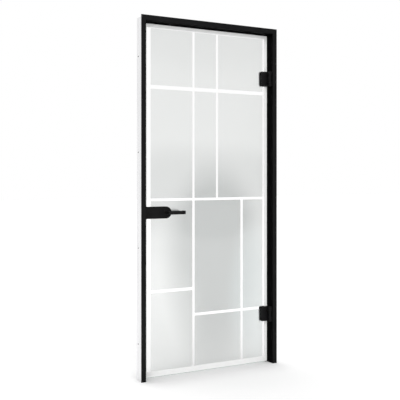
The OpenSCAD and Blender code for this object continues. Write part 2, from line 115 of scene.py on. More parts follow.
for lamp_name, level, turn in (
    ("front_lamp", front_lamp_level, front_lamp_turn),
    ("back_lamp", back_lamp_level, back_lamp_turn),
):
    lamp_data = bpy.data.lights.new(lamp_name, "SUN")
    lamp_data.energy = level * math.pi
    lamp_data.angle = lamp_spread
    lamp = bpy.data.objects.new(lamp_name, lamp_data)
    lamp.rotation_euler = turn
    lamp.visible_glossy = False
    lamp.visible_transmission = False
    scene.collection.objects.link(lamp)

floor_corners = np.array([[-1, -1, 0], [1, -1, 0], [1, 1, 0], [-1, 1, 0]]) * floor_half
floor_mesh = bpy.data.meshes.new("floor")
floor_mesh.from_pydata(floor_corners.tolist(), [], [(0, 1, 2, 3)])
floor = bpy.data.objects.new("floor", floor_mesh)
scene.collection.objects.link(floor)
floor_paint = bpy.data.materials.new("pale_floor")
floor_paint.use_nodes = True
floor_shader = floor_paint.node_tree.nodes["Principled BSDF"]
floor_shader.inputs["Roughness"].default_value = 0.9
floor_shader.inputs["Specular IOR Level"].default_value = 0
floor_shader.inputs["Emission Color"].default_value = (1, 1, 1, 1)
floor_tree = floor_paint.node_tree
# An ambient-occlusion lookup darkens the floor's colour and its glow near the door: a painted contact shadow, on top of
# the lamps' own shadows.
painted_shadow_lookup = floor_tree.nodes.new("ShaderNodeAmbientOcclusion")
painted_shadow_lookup.samples = 16
painted_shadow_lookup.inputs["Distance"].default_value = shadow_reach
near_shade = floor_tree.nodes.new("ShaderNodeMapRange")
near_shade.inputs["To Min"].default_value = 1 - shadow_share
join_nodes(floor_tree, painted_shadow_lookup, "AO", near_shade, "Value")
painted_shadow_tone = floor_tree.nodes.new("ShaderNodeMix")
painted_shadow_tone.data_type = "RGBA"
painted_shadow_tone.inputs["A"].default_value = (0, 0, 0, 1)
painted_shadow_tone.inputs["B"].default_value = floor_tone
floor_tree.links.new(near_shade.outputs["Result"], painted_shadow_tone.inputs["Factor"])
floor_tree.links.new(painted_shadow_tone.outputs["Result"], floor_shader.inputs["Base Color"])
floor_level = floor_tree.nodes.new("ShaderNodeMath")
floor_level.operation = "MULTIPLY"
floor_level.inputs[1].default_value = floor_lift
join_nodes(floor_tree, backdrop_share(floor_tree), 0, floor_level, 0)
near_level = floor_tree.nodes.new("ShaderNodeMath")
near_level.operation = "MULTIPLY"
join_nodes(floor_tree, floor_level, 0, near_level, 0)
join_nodes(floor_tree, near_shade, "Result", near_level, 1)
join_nodes(floor_tree, near_level, 0, floor_shader, "Emission Strength")
floor.data.materials.append(floor_paint)


# The wall frame is three lengths of extruded aluminium profile, mitred at the head corners.
# It is powder-coated matt black with a fine pebbled skin and eased edges, but for the side that goes into
# the wall behind the flange, which stays bare as it left the press.
frame_black = (0.0088, 0.0088, 0.0092, 1)
frame_hazed = (0.0125, 0.0125, 0.0129, 1)
# The rebate and reveals behind the flange are painted nearly black, darker than the coat: painted shade.
rebate_painted_shade = (0.0018, 0.0018, 0.0019, 1)
frame_edge = 0.45 * mm
pebble_size = 0.9 * mm
pebble_height = 0.07 * mm
haze_size = 160 * mm
wall_lap = 9 * mm
flange_width = 29 * mm
mill_silver = (0.70, 0.70, 0.71, 1)
mill_bright = (0.93, 0.93, 0.935, 1)
mill_roughness = 0.38
streak_width = 1.2 * mm
streak_length = 400 * mm


def new_group(name, inputs, outputs):
    """An empty shader node group with named inputs, each with its first value, and named outputs."""
    group = bpy.data.node_groups.new(name, "ShaderNodeTree")
    for label, kind, value in inputs:
        socket = group.interface.new_socket(label, in_out="INPUT", socket_type=kind)
        socket.default_value = value
    for label, kind in outputs:
        group.interface.new_socket(label, in_out="OUTPUT", socket_type=kind)
    return group, group.nodes.new("NodeGroupInput"), group.nodes.new("NodeGroupOutput")


def number_node(tree, operation, first, second):
    """A Math node between two numbers, each given as a plain value or as (node, output)."""
    node = tree.nodes.new("ShaderNodeMath")
    node.operation = operation
    for place, value in enumerate((first, second)):
        if isinstance(value, tuple):
            tree.links.new(value[0].outputs[value[1]], node.inputs[place])
        else:
            node.inputs[place].default_value = value
    return node


def blend_node(tree, share, first, second):
    """A colour mix from the first to the second as the share goes from nought to one."""
    node = tree.nodes.new("ShaderNodeMix")
    node.data_type = "RGBA"
    tree.links.new(share[0].outputs[share[1]], node.inputs["Factor"])
    for label, value in (("A", first), ("B", second)):
        if isinstance(value[0], bpy.types.Node):
            tree.links.new(value[0].outputs[value[1]], node.inputs[label])
        else:
            node.inputs[label].default_value = value
    return node


# Pebbled skin: fine noise for the height, and a slow cloud from 0 to 1 for haze and sheen.
pebble_group, entry, way_out = new_group(
    "pebbled_skin",
    [("Position", "NodeSocketVector", (0, 0, 0)), ("Grain", "NodeSocketFloat", 1000), ("Haze", "NodeSocketFloat", 6)],
    [("Height", "NodeSocketFloat"), ("Cloud", "NodeSocketFloat")],
)
grain_noise = pebble_group.nodes.new("ShaderNodeTexNoise")
grain_noise.inputs["Detail"].default_value = 2
join_nodes(pebble_group, entry, "Position", grain_noise, "Vector")
join_nodes(pebble_group, entry, "Grain", grain_noise, "Scale")
join_nodes(pebble_group, grain_noise, 0, way_out, "Height")
cloud_noise = pebble_group.nodes.new("ShaderNodeTexNoise")
cloud_noise.inputs["Detail"].default_value = 4
join_nodes(pebble_group, entry, "Position", cloud_noise, "Vector")
join_nodes(pebble_group, entry, "Haze", cloud_noise, "Scale")
cloud_spread = pebble_group.nodes.new("ShaderNodeMapRange")
cloud_spread.inputs["From Min"].default_value = 0.35
cloud_spread.inputs["From Max"].default_value = 0.65
join_nodes(pebble_group, cloud_noise, 0, cloud_spread, "Value")
join_nodes(pebble_group, cloud_spread, "Result", way_out, "Cloud")

# Rubbed edge: the piece's own "rubbed" attribute, broken up by noise, so that wear is patchy.
rubbed_group, entry, way_out = new_group(
    "rubbed_edge",
    [("Position", "NodeSocketVector", (0, 0, 0)), ("Rubbed", "NodeSocketFloat", 0), ("Patch", "NodeSocketFloat", 200)],
    [("Worn", "NodeSocketFloat")],
)
worn_noise = rubbed_group.nodes.new("ShaderNodeTexNoise")
worn_noise.inputs["Detail"].default_value = 5
join_nodes(rubbed_group, entry, "Position", worn_noise, "Vector")
join_nodes(rubbed_group, entry, "Patch", worn_noise, "Scale")
worn_spread = rubbed_group.nodes.new("ShaderNodeMapRange")
worn_spread.inputs["From Min"].default_value = 0.42
worn_spread.inputs["From Max"].default_value = 0.62
join_nodes(rubbed_group, worn_noise, 0, worn_spread, "Value")
worn_share = number_node(rubbed_group, "MULTIPLY", (worn_spread, "Result"), (entry, "Rubbed"))
join_nodes(rubbed_group, worn_share, 0, way_out, "Worn")


def coat_material(name, dark, hazed, worn, roughness, swing, gloss, metal, grain, haze, height):
    """A coat: dark to hazed with the cloud, worn on rubbed edges, and pebbled; roughness swings with the cloud."""
    material = bpy.data.materials.new(name)
    material.use_nodes = True
    tree = material.node_tree
    shader = tree.nodes["Principled BSDF"]
    shader.inputs["Metallic"].default_value = metal
    shader.inputs["Specular IOR Level"].default_value = gloss
    place = tree.nodes.new("ShaderNodeTexCoord")
    skin = tree.nodes.new("ShaderNodeGroup")
    skin.node_tree = pebble_group
    skin.inputs["Grain"].default_value = 1 / grain
    skin.inputs["Haze"].default_value = 1 / haze
    join_nodes(tree, place, "Object", skin, "Position")
    rubbed = tree.nodes.new("ShaderNodeAttribute")
    rubbed.attribute_name = "rubbed"
    edge = tree.nodes.new("ShaderNodeGroup")
    edge.node_tree = rubbed_group
    join_nodes(tree, place, "Object", edge, "Position")
    join_nodes(tree, rubbed, "Fac", edge, "Rubbed")
    clean_tone = blend_node(tree, (skin, "Cloud"), dark, hazed)
    full_tone = blend_node(tree, (edge, "Worn"), (clean_tone, "Result"), worn)
    tree.links.new(full_tone.outputs["Result"], shader.inputs["Base Color"])
    dull = tree.nodes.new("ShaderNodeMapRange")
    dull.inputs["To Min"].default_value = roughness - swing
    dull.inputs["To Max"].default_value = roughness + swing
    join_nodes(tree, skin, "Cloud", dull, "Value")
    polish = number_node(tree, "MULTIPLY", (edge, "Worn"), 0.5 * swing)
    smooth = number_node(tree, "SUBTRACT", (dull, "Result"), (polish, 0))
    join_nodes(tree, smooth, 0, shader, "Roughness")
    bump = tree.nodes.new("ShaderNodeBump")
    bump.inputs["Distance"].default_value = height
    join_nodes(tree, skin, "Height", bump, "Height")
    join_nodes(tree, bump, "Normal", shader, "Normal")
    return material


def finish_node(name, material, edge=0.0):
    """Gives a CAD node its material, and where edge is above nought a small rounding of its sharp edges."""
    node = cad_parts[name]
    node.data.materials.clear()
    node.data.materials.append(material)
    if edge > 0:
        weld = node.modifiers.new("weld", "WELD")
        weld.merge_threshold = 0.01 * mm
        flat = node.modifiers.new("flat_faces", "DECIMATE")
        flat.decimate_type = "DISSOLVE"
        flat.angle_limit = math.radians(1)
        easing = node.modifiers.new("eased_edges", "BEVEL")
        easing.width = edge
        easing.segments = 2
        easing.limit_method = "ANGLE"
        easing.angle_limit = math.radians(40)


frame_coat = coat_material(
    "black_frame_coat", frame_black, frame_hazed, frame_hazed, 0.6, 0.05, 0.02, 0, pebble_size, haze_size, pebble_height
)
latch_low, latch_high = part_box("latch_jamb")
hinge_low, hinge_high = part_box("hinge_jamb")
head_low, head_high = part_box("head_rail")
bar_tree = frame_coat.node_tree
bar_shader = bar_tree.nodes["Principled BSDF"]
bar_place = bar_tree.nodes.new("ShaderNodeTexCoord")
bar_axes = bar_tree.nodes.new("ShaderNodeSeparateXYZ")
join_nodes(bar_tree, bar_place, "Object", bar_axes, 0)
past_left = number_node(bar_tree, "LESS_THAN", (bar_axes, "X"), latch_low.x + wall_lap + 0.1 * mm)
past_right = number_node(bar_tree, "GREATER_THAN", (bar_axes, "X"), hinge_high.x - wall_lap - 0.1 * mm)
past_top = number_node(bar_tree, "GREATER_THAN", (bar_axes, "Z"), head_high.z - wall_lap - 0.1 * mm)
past_sides = number_node(bar_tree, "MAXIMUM", (past_left, 0), (past_right, 0))
past_outline = number_node(bar_tree, "MAXIMUM", (past_sides, 0), (past_top, 0))
behind_flange = number_node(bar_tree, "GREATER_THAN", (bar_axes, "Y"), -0.1 * mm)
uncoated = number_node(bar_tree, "MULTIPLY", (past_outline, 0), (behind_flange, 0))
coat_colour = bar_shader.inputs["Base Color"].links[0].from_node
coat_dullness = bar_shader.inputs["Roughness"].links[0].from_node
streak_place = bar_tree.nodes.new("ShaderNodeMapping")
streak_place.inputs["Scale"].default_value = (1 / streak_length, 1 / streak_width, 1 / streak_length)
join_nodes(bar_tree, bar_place, "Object", streak_place, "Vector")
streaks = bar_tree.nodes.new("ShaderNodeTexNoise")
streaks.inputs["Scale"].default_value = 1
streaks.inputs["Detail"].default_value = 3
join_nodes(bar_tree, streak_place, "Vector", streaks, "Vector")
streak_share = bar_tree.nodes.new("ShaderNodeMapRange")
streak_share.inputs["From Min"].default_value = 0.35
streak_share.inputs["From Max"].default_value = 0.65
join_nodes(bar_tree, streaks, 0, streak_share, "Value")
mill_tone = blend_node(bar_tree, (streak_share, "Result"), mill_silver, mill_bright)
# Inside the flange's outline and behind its face, the coat's colour gives way to the near-black rebate colour: painted
# shade in the reveals and the rebate.
inside_left = number_node(bar_tree, "GREATER_THAN", (bar_axes, "X"), latch_low.x + flange_width - 0.1 * mm)
inside_right = number_node(bar_tree, "LESS_THAN", (bar_axes, "X"), hinge_high.x - flange_width + 0.1 * mm)
inside_top = number_node(bar_tree, "LESS_THAN", (bar_axes, "Z"), head_high.z - flange_width + 0.1 * mm)
inside_sides = number_node(bar_tree, "MULTIPLY", (inside_left, 0), (inside_right, 0))
inside_outline = number_node(bar_tree, "MULTIPLY", (inside_sides, 0), (inside_top, 0))
rebate_shade_share = number_node(bar_tree, "MULTIPLY", (inside_outline, 0), (behind_flange, 0))
coat_with_rebate_shade = blend_node(bar_tree, (rebate_shade_share, 0), (coat_colour, "Result"), rebate_painted_shade)
bar_tone = blend_node(bar_tree, (uncoated, 0), (coat_with_rebate_shade, "Result"), (mill_tone, "Result"))
bar_tree.links.new(bar_tone.outputs["Result"], bar_shader.inputs["Base Color"])
join_nodes(bar_tree, uncoated, 0, bar_shader, "Metallic")
bar_dullness = bar_tree.nodes.new("ShaderNodeMix")
join_nodes(bar_tree, uncoated, 0, bar_dullness, "Factor")
join_nodes(bar_tree, coat_dullness, 0, bar_dullness, "A")
bar_dullness.inputs["B"].default_value = mill_roughness
join_nodes(bar_tree, bar_dullness, "Result", bar_shader, "Roughness")
for bar in ("latch_jamb", "hinge_jamb", "head_rail"):
    finish_node(bar, frame_coat, frame_edge)


# The seals are soft rubber lips, hollow in the real part but drawn solid, pushed with a barbed foot into the stop's
# groove all round.
# One extruded length runs up each jamb and across the head, and the lengths are mitred at the corners.
rubber_black = (0.005, 0.005, 0.0054, 1)
rubber_dusty = (0.013, 0.013, 0.013, 1)
seal_half = 4 * mm
lip_height = 5 * mm
lip_dome = 0.4 * mm
foot_half = 2 * mm
foot_depth = 2.9 * mm
barb = 0.25 * mm
lip_low, lip_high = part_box("latch_side_seal")
stop_face = lip_low.y + lip_height
seal_line_latch = (lip_low.x + lip_high.x) / 2
seal_line_hinge = sum(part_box("hinge_side_seal")[end].x for end in (0, 1)) / 2
seal_line_head = sum(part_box("head_seal")[end].z for end in (0, 1)) / 2


def grid_faces(rows, columns, rows_join, columns_join, first):
    """Four-cornered faces between neighbours of a grid of points that is numbered row by row from first."""
    row = np.arange(rows if rows_join else rows - 1)[:, None]
    column = np.arange(columns if columns_join else columns - 1)[None, :]
    next_row = (row + 1) % rows
    next_column = (column + 1) % columns
    corners = [
        row * columns + column,
        row * columns + next_column,
        next_row * columns + next_column,
        next_row * columns + column,
    ]
    return np.stack(corners, axis=-1).reshape(-1, 4) + first


def make_piece(name, shells, material, body, stands_for=()):
    """Puts grids of points in one mesh. Each shell is (points, rubbed, rows join, columns join), where points
    is rows by columns by three in metres and rubbed is from 0 to 1 for each row. Doubles are merged first."""
    points, rubbed, faces = [], [], []
    first = 0
    for grid, wear, rows_join, columns_join in shells:
        rows, columns = grid.shape[:2]
        points.append(grid.reshape(-1, 3))
        rubbed.append(np.repeat(np.broadcast_to(wear, rows), columns))
        faces.append(grid_faces(rows, columns, rows_join, columns_join, first))
        first += rows * columns
    mesh = bpy.data.meshes.new(name)
    mesh.from_pydata(np.concatenate(points).tolist(), [], np.concatenate(faces).tolist())
    layer = mesh.attributes.new("rubbed", "FLOAT", "POINT")
    layer.data.foreach_set("value", np.concatenate(rubbed).astype(np.float32))
    shape = bmesh.new()
    shape.from_mesh(mesh)
    bmesh.ops.remove_doubles(shape, verts=shape.verts, dist=0.001 * mm)
    bmesh.ops.recalc_face_normals(shape, faces=shape.faces)
    shape.to_mesh(mesh)
    shape.free()
    mesh.shade_smooth()
    mesh.set_sharp_from_angle(angle=math.radians(35))
    piece = bpy.data.objects.new(name, mesh)
    scene.collection.objects.link(piece)
    mesh.materials.append(material)
    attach(piece, body)
    if stands_for:
        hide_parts(*stands_for)
    return piece


def closed_ends(rows):
    """The same grid with its first and last rows drawn to their middle points, which closes both ends."""
    first = np.broadcast_to(rows[0].mean(0), rows[0].shape)
    last = np.broadcast_to(rows[-1].mean(0), rows[-1].shape)
    return np.concatenate([first[None], rows, last[None]])


def seal_outline():
    """The seal's section, across by height above the stop's face: a domed solid lip on a barbed foot.
    The lip is half an oval of seal_half by lip_height, and the foot steps out by barb at two levels."""
    turn = np.linspace(0, math.pi, 17)
    lip = np.stack([seal_half * np.cos(turn) ** 1.0, lip_height * np.sin(turn) ** 0.55], axis=1)
    lip[:, 1] = np.minimum(lip[:, 1], lip_height - lip_dome * (lip[:, 0] / seal_half) ** 2)
    step = np.array([0, 0.3, 0.3, 0.62, 0.62, 1.0]) * -foot_depth
    wide = foot_half + barb * np.array([-1, -1, 0.2, -1, 0.2, -3])
    left = np.stack([-wide, step], axis=1)
    right = np.stack([wide, step], axis=1)[::-1]
    return np.concatenate([lip, left, right])


seal_section = seal_outline()
rubber = coat_material(
    "black_rubber", rubber_black, rubber_dusty, rubber_dusty, 0.8, 0.08, 0.1, 0, 0.5 * mm, 40 * mm, 0.03 * mm
)
seal_across = seal_section[:, 0]
seal_out = stop_face - seal_section[:, 1]
for name, line, inward in (
    ("latch_side_seal", seal_line_latch, 1),
    ("hinge_side_seal", seal_line_hinge, -1),
):
    foot_of_seal = np.stack([line + inward * seal_across, seal_out, np.zeros_like(seal_out)], axis=1)
    top_of_seal = np.stack([line + inward * seal_across, seal_out, seal_line_head - seal_across], axis=1)
    rows = closed_ends(np.stack([foot_of_seal, top_of_seal]))
    make_piece(name + "_lip", [(rows, 0, False, True)], rubber, "frame", [name])
left_end = np.stack([seal_line_latch + seal_across, seal_out, seal_line_head - seal_across], axis=1)
right_end = np.stack([seal_line_hinge - seal_across, seal_out, seal_line_head - seal_across], axis=1)
rows = closed_ends(np.stack([left_end, right_end]))
make_piece("head_seal_lip", [(rows, 0, False, True)], rubber, "frame", ["head_seal"])


# Each jamb is fixed sideways into the wall by four long screws through its reveal.
# Their heads lie sunk in the profile, and a domed plastic cap closes each hole.
fixing_places = np.array([0.200, 0.730, 1.260, 1.790])
fixing_y = 56 * mm
cap_radius = 6.5 * mm
cap_rise = 1.0 * mm
cap_stem = 3.9 * mm
cap_reach = 3.5 * mm
plastic_black = (0.008, 0.008, 0.0084, 1)
plastic_hazed = (0.014, 0.014, 0.0144, 1)
latch_reveal = latch_low.x + 29 * mm
hinge_reveal = hinge_high.x - 29 * mm


def turned(radii, heights, steps):
    """A profile of radii and heights turned round the height axis: across, along and height by row and step."""
    angle = np.linspace(0, 2 * math.pi, steps, endpoint=False)
    across = np.asarray(radii)[:, None] * np.cos(angle)
    along = np.asarray(radii)[:, None] * np.sin(angle)
    height = np.broadcast_to(np.asarray(heights)[:, None], across.shape)
    return across, along, height


cap_turn = np.linspace(0, math.pi / 2, 6)
cap_radii = np.concatenate([[cap_stem * 0.8, cap_stem, cap_stem], cap_radius * np.cos(cap_turn) ** 0.6, [0]])
cap_heights = np.concatenate([[-cap_reach, 0.6 * mm - cap_reach, 0], cap_rise * np.sin(cap_turn), [cap_rise]])
cap_across, cap_along, cap_height = turned(cap_radii, cap_heights, 28)
plastic = coat_material(
    "black_plastic", plastic_black, plastic_hazed, plastic_hazed, 0.5, 0.05, 0.12, 0, 0.3 * mm, 10 * mm, 0.01 * mm
)
for name, reveal, inward in (("latch_jamb_caps", latch_reveal, 1), ("hinge_jamb_caps", hinge_reveal, -1)):
    shells = []
    for fixing_z in fixing_places:
        grid = np.stack([reveal + inward * cap_height, fixing_y + cap_across, fixing_z + cap_along], axis=-1)
        shells.append((grid, 0, False, True))
    make_piece(name, shells, plastic, "frame")


# The strike plate is a stamped steel plate with a black coat, let flush into the latch jamb's reveal.
# It has rounded corners, a smooth opening for the bolt, a plastic pocket behind it, and two screws.
strike_low, strike_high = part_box("strike_plate")
strike_mid_y = (strike_low.y + strike_high.y) / 2
strike_mid_z = (strike_low.z + strike_high.z) / 2
strike_half_y = (strike_high.y - strike_low.y) / 2
strike_half_z = (strike_high.z - strike_low.z) / 2
strike_corner = 1.5 * mm
strike_ease = 0.4 * mm
opening_half_y = 5.5 * mm
opening_half_z = 11 * mm
opening_corner = 2 * mm
pocket_depth = 11 * mm
pocket_wall = 0.6 * mm
strike_screw_rise = 44 * mm
fitting_black = (0.0062, 0.0062, 0.0065, 1)
fitting_hazed = (0.0095, 0.0095, 0.0098, 1)
fitting_worn = (0.034, 0.033, 0.032, 1)
steel_dull = (0.38, 0.38, 0.40, 1)
steel_bright = (0.56, 0.56, 0.58, 1)


def four_corner_outline(low, high, radii, inset, steps=8):
    """A rectangle with its own radius at each corner, drawn smaller by an inset, as steps points a corner.
    A corner's arc keeps its centre while the radius lasts, and past that it moves in along the diagonal."""
    signs = np.array([[1, 1], [-1, 1], [-1, -1], [1, -1]])
    corners = np.where(signs > 0, np.asarray(high), np.asarray(low))
    reach = np.maximum(np.asarray(radii, float), inset)
    centres = corners - signs * reach[:, None]
    angle = np.arange(4)[:, None] * math.pi / 2 + np.linspace(0, math.pi / 2, steps)
    ray = np.stack([np.cos(angle), np.sin(angle)], axis=-1)
    return (centres[:, None] + (reach - inset)[:, None, None] * ray).reshape(-1, 2)


def eased_rows(outline, thick, ease, steps=4):
    """A plate's wall from its back to its front: straight up, then a quarter round of radius ease inward.
    Gives the points as across, along and height, and how rubbed each row is."""
    turn = np.linspace(0, math.pi / 2, steps + 1)
    insets = np.concatenate([[0], ease * (1 - np.cos(turn))])
    heights = np.concatenate([[0], thick - ease + ease * np.sin(turn)])
    flat = np.stack([outline(inset) for inset in insets])
    height = np.broadcast_to(heights[:, None, None], flat.shape[:2] + (1,))
    rubbed = np.concatenate([[0, 0], np.sin(2 * turn[1:-1]), [0]])
    return np.concatenate([flat, height], axis=-1), rubbed


def ring_like(rows, outline):
    """Rows that go on from a plate's front to an inner outline, and back down it to the plate's back."""
    front = np.concatenate([outline, np.full((len(outline), 1), rows[-1, 0, 2])], axis=1)
    back = np.concatenate([outline, np.full((len(outline), 1), rows[0, 0, 2])], axis=1)
    return np.concatenate([rows, front[None], back[None]])


fitting_coat = coat_material(
    "black_fitting_coat", fitting_black, fitting_hazed, fitting_worn, 0.46, 0.05, 0.07, 0, 0.5 * mm, 50 * mm, 0.015 * mm
)
plated_steel = coat_material(
    "plated_steel", steel_dull, steel_bright, steel_bright, 0.34, 0.08, 0.5, 1, 0.4 * mm, 12 * mm, 0.01 * mm
)


def strike_outline(inset):
    """The strike plate's outline, along the jamb's depth by its height."""
    low = (-strike_half_y, -strike_half_z)
    return four_corner_outline(low, (strike_half_y, strike_half_z), [strike_corner] * 4, inset)


def opening_outline(inset):
    """The bolt's opening, drawn larger by a negative inset."""
    low = (-opening_half_y, -opening_half_z)
    return four_corner_outline(low, (opening_half_y, opening_half_z), [opening_corner] * 4, inset)


strike_rows, strike_rubbed = eased_rows(strike_outline, strike_high.x - strike_low.x, strike_ease)
strike_rows = ring_like(strike_rows, opening_outline(0))
strike_rubbed = np.concatenate([strike_rubbed, [1, 0]])
strike_grid = np.stack(
    [strike_low.x + strike_rows[..., 2], strike_mid_y + strike_rows[..., 0], strike_mid_z + strike_rows[..., 1]], axis=-1
)
strike_shells = [(strike_grid, strike_rubbed, True, True)]
make_piece("strike_plate_stamped", strike_shells, fitting_coat, "frame", ["strike_plate"])

pocket_heights = np.array([pocket_wall - pocket_depth] * 2 + [-0.1 * mm] * 2 + [-pocket_depth] * 2)
pocket_flat = np.stack([opening_outline(inset) for inset in (0, pocket_wall, pocket_wall, 0, 0, 0)])
pocket_flat[[0, 5]] = 0
pocket_grid = np.stack(
    [
        strike_low.x + np.broadcast_to(pocket_heights[:, None], pocket_flat.shape[:2]),
        strike_mid_y + pocket_flat[..., 0],
        strike_mid_z + pocket_flat[..., 1],
    ],
    axis=-1,
)
make_piece("strike_pocket", [(pocket_grid, 0, False, True)], plastic, "frame")


def socket_screw(head_radius, seat, stem_radius, stem, flats, socket):
    """A countersunk screw turned round its axis, with its top at height 0 and a hexagon socket in it.
    The socket's rim follows flats / 2 over the cosine of the angle from the nearest flat's middle."""
    radii = [0, stem_radius, stem_radius, head_radius, head_radius * 0.96, 1, 1, 0]
    heights = [-seat - stem, -seat - stem, -seat, -0.25 * mm, 0, 0, -socket, -socket]
    across, along, height = turned(radii, heights, 36)
    angle = np.linspace(0, 2 * math.pi, 36, endpoint=False)
    rim = flats / 2 / np.cos(np.mod(angle, math.pi / 3) - math.pi / 6)
    across[5:7] *= rim
    along[5:7] *= rim
    return across, along, height


screw_across, screw_along, screw_height = socket_screw(4 * mm, 2.2 * mm, 2 * mm, 8 * mm, 2.5 * mm, 1.6 * mm)
shells = []
for rise in (-strike_screw_rise, strike_screw_rise):
    grid = np.stack(
        [
            strike_high.x + 0.05 * mm + screw_height,
            strike_mid_y + screw_across,
            strike_mid_z + rise + screw_along,
        ],
        axis=-1,
    )
    shells.append((grid, 0, False, True))
make_piece("strike_screws", shells, plated_steel, "frame")


# Each hinge has a fixed half, a plate let into the jamb's reveal with an upper and a lower knuckle.
# The leaf's knuckle turns between them on a steel pin with a domed black cap at each end.
pin_radius = 4 * mm
pin_cap_radius = 7 * mm
pin_cap_rise = 2.5 * mm
cap_groove = 0.35 * mm
knuckle_radius = 8 * mm
washer_bore = 4.1 * mm
washer_radius = 7.6 * mm
hinge_edge = 0.3 * mm
nylon_dark = (0.02, 0.02, 0.02, 1)
nylon_hazed = (0.035, 0.035, 0.035, 1)
nylon = coat_material(
    "dark_nylon", nylon_dark, nylon_hazed, nylon_hazed, 0.5, 0.05, 0.3, 0, 0.4 * mm, 8 * mm, 0.01 * mm
)
dome_turn = np.linspace(0, math.pi / 2, 8)
for hinge in ("upper_hinge", "lower_hinge"):
    finish_node(hinge + "_frame_leaf", fitting_coat, hinge_edge)
    pin_low, pin_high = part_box(hinge + "_pin")
    pin_x = (pin_low.x + pin_high.x) / 2
    pin_y = (pin_low.y + pin_high.y) / 2
    pin_mid = (pin_low.z + pin_high.z) / 2
    pin_half = (pin_high.z - pin_low.z) / 2 - pin_cap_rise
    cap_radii = np.concatenate(
        [
            [0, pin_radius, pin_radius, pin_cap_radius, pin_cap_radius, pin_cap_radius - cap_groove],
            [pin_cap_radius - cap_groove],
            pin_cap_radius * np.cos(dome_turn) ** 0.5,
        ]
    )
    cap_heights = np.concatenate(
        [
            [0, 0, pin_half, pin_half, pin_half + 0.5 * mm, pin_half + 0.6 * mm],
            [pin_half + 0.9 * mm],
            pin_half + 1.0 * mm + (pin_cap_rise - 1.0 * mm) * np.sin(dome_turn),
        ]
    )
    cap_rubbed = np.concatenate([np.zeros(4), [0.8, 0, 0], np.sin(2 * dome_turn) * 0.6])
    across, along, height = turned(cap_radii, cap_heights, 40)
    shells = []
    for way in (-1, 1):
        grid = np.stack([pin_x + across, pin_y + along, pin_mid + way * height], axis=-1)
        shells.append((grid, cap_rubbed, False, True))
    make_piece(hinge + "_turned_pin", shells, fitting_coat, "frame", [hinge + "_pin"])

    washer_shells = []
    across, along, height = turned(
        [washer_bore, washer_radius, washer_radius, washer_bore], np.array([-0.2, -0.2, 0.2, 0.2]) * mm, 40
    )
    for gap_z in (pin_mid - 22.25 * mm, pin_mid + 22.25 * mm):
        grid = np.stack([pin_x + across, pin_y + along, gap_z + height], axis=-1)
        washer_shells.append((grid, 0, True, True))
    make_piece(hinge + "_washers", washer_shells, nylon, "frame")


# The leaf is one pane of 8 mm toughened glass with its edges ground to a narrow bevel.
# Its rear face is etched in a field that leaves a clear border and seven clear lines.
leaf_low, leaf_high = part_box("glass_pane")
etched_behind = (leaf_low.y + leaf_high.y) / 2
border_left = 48.3 * mm
border_right = 803.7 * mm
border_low = 31.8 * mm
border_high = 1949.0 * mm
long_upright = (316.4 * mm, 330.1 * mm)
upper_upright = (474.9 * mm, 488.0 * mm)
lower_upright = (645.8 * mm, 660.6 * mm)
high_level = (1610.3 * mm, 1631.7 * mm)
middle_level = (982.7 * mm, 996.7 * mm)
left_level = (467.6 * mm, 484.5 * mm)
low_level = (318.9 * mm, 334.5 * mm)
etched_field = (border_left, border_right, border_low, border_high)
clear_lines = [
    (*long_upright, border_low, border_high),
    (*upper_upright, middle_level[0], border_high),
    (*lower_upright, border_low, middle_level[1]),
    (border_left, border_right, *high_level),
    (border_left, border_right, *middle_level),
    (border_left, long_upright[0], *left_level),
    (long_upright[1], border_right, *low_level),
]
etched_roughness = 0.5
# The etched field's tone runs from a deep to a light grey through soft patches: painted shade and painted light across
# the leaf.
etched_painted_shade = (0.315, 0.335, 0.327, 1)
etched_painted_light = (0.775, 0.795, 0.778, 1)
etched_cool = (0.60, 0.70, 0.70, 1)
etched_start = 0.85
painted_shade_and_light_patches = [
    (470, 600, 420, 700, -0.76),
    (430, 1040, 1200, 330, -0.35),
    (100, 330, 330, 450, 0.22),
    (420, 2000, 900, 350, -0.14),
]
cool_patch = (770, 420, 260, 520, 0.35)
# The ground edges carry the green of thick glass, made darker and greyer than that tint alone: partly the glass's own
# colour, partly painted shade.
edge_green_with_painted_shade = (0.36, 0.50, 0.44, 1)

# Panel: one inside a rectangle that is given by its left, right, lower and upper edges, nought outside.
panel_group, entry, way_out = new_group(
    "panel_mask",
    [
        ("Across", "NodeSocketFloat", 0),
        ("Up", "NodeSocketFloat", 0),
        ("Left", "NodeSocketFloat", 0),
        ("Right", "NodeSocketFloat", 1),
        ("Low", "NodeSocketFloat", 0),
        ("High", "NodeSocketFloat", 1),
    ],
    [("Inside", "NodeSocketFloat")],
)
after_left = number_node(panel_group, "GREATER_THAN", (entry, "Across"), (entry, "Left"))
before_right = number_node(panel_group, "LESS_THAN", (entry, "Across"), (entry, "Right"))
above_low = number_node(panel_group, "GREATER_THAN", (entry, "Up"), (entry, "Low"))
below_high = number_node(panel_group, "LESS_THAN", (entry, "Up"), (entry, "High"))
in_width = number_node(panel_group, "MULTIPLY", (after_left, 0), (before_right, 0))
in_height = number_node(panel_group, "MULTIPLY", (above_low, 0), (below_high, 0))
in_both = number_node(panel_group, "MULTIPLY", (in_width, 0), (in_height, 0))
join_nodes(panel_group, in_both, 0, way_out, "Inside")

